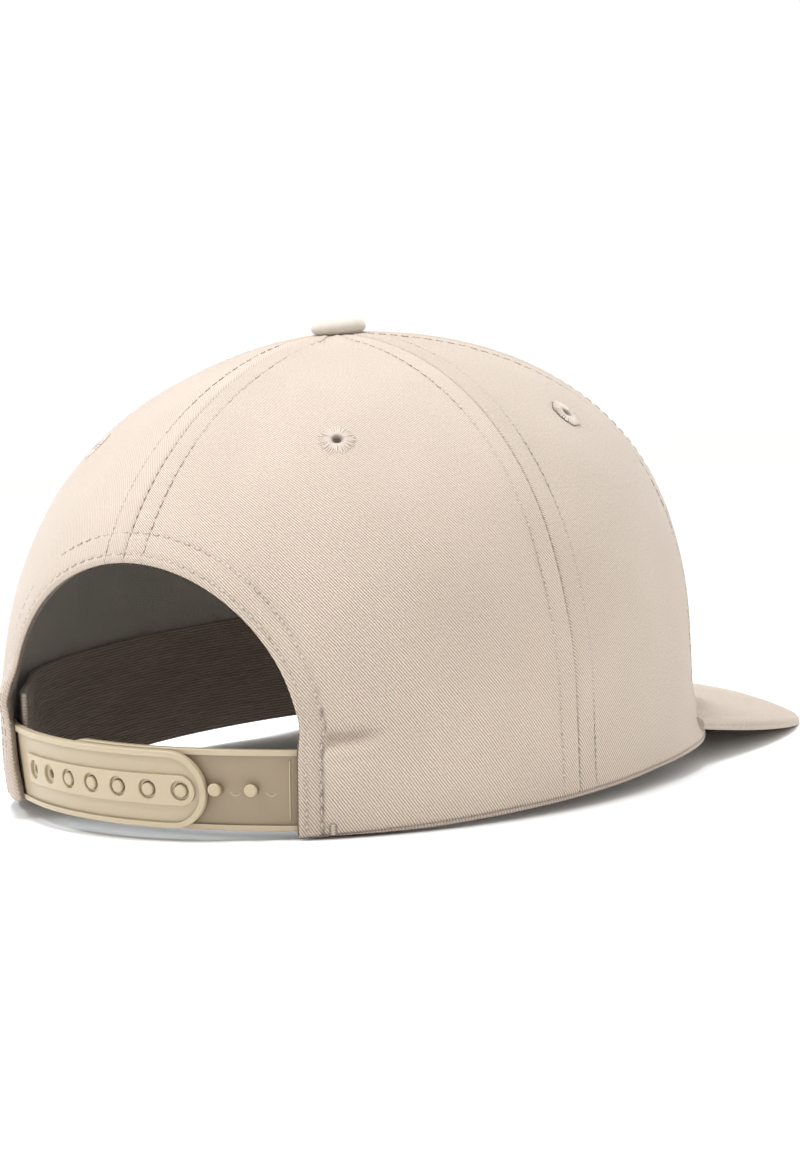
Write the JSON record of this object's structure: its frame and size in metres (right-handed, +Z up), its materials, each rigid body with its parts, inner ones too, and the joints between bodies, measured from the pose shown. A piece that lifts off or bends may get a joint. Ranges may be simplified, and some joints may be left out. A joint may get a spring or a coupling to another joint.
{
  "type": "snapback cap",
  "caption": "Snapback cap in cotton twill: panelled crown, flat peak, stitched eyelets, covered top button and an arched back opening over a plastic snap strap.",
  "frame": {"origin": "centre of the cap's box at its base, on the surface it rests on", "axes": "+Z up, -Y towards the peak, +Y towards the back opening, +X towards the wearer's left"},
  "size_m": [0.1716, 0.2682, 0.1254],
  "materials": {
    "twill": "cotton twill with a fine diagonal rib",
    "thread": "satin stitched thread",
    "band_tape": "ribbed tape",
    "strap_plastic": "moulded, satin"
  },
  "bodies": {
    "root": {"front_panel_right": "twill", "front_panel_left": "twill", "side_panel_right": "twill", "side_panel_left": "twill", "back_panel_right": "twill", "back_panel_left": "twill", "top_button": "twill", "peak": "twill", "arch_facing": "twill", "eyelet_front_right": "thread", "eyelet_front_left": "thread", "eyelet_side_right": "thread", "eyelet_side_left": "thread", "eyelet_back_right": "thread", "eyelet_back_left": "thread", "sweatband": "band_tape", "strap_left": "strap_plastic", "strap_right": "strap_plastic"}
  },
  "joints": []
}
